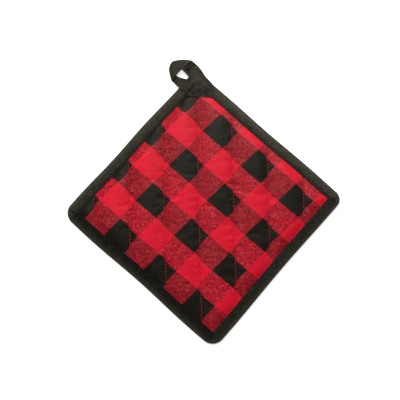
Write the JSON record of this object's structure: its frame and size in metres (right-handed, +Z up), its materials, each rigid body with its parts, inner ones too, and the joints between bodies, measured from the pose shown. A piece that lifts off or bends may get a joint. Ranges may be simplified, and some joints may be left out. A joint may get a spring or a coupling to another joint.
{
  "type": "pot holder",
  "caption": "Square quilted cloth pot holder with a bound edge and a folded hanging loop at one corner.",
  "frame": {"origin": "centre of the square on the plane that its back lies on", "axes": "+Z up out of the quilted face, +Y from the bottom corner towards the loop corner, +X towards the right corner"},
  "size_m": [0.279, 0.2922, 0.0097],
  "materials": {
    "check_cloth": "matt woven cotton, red and black check",
    "binding_cloth": "matt black cotton tape"
  },
  "bodies": {
    "root": {"quilted_pad": "check_cloth", "binding": "binding_cloth", "hanging_loop": "binding_cloth"}
  },
  "joints": []
}
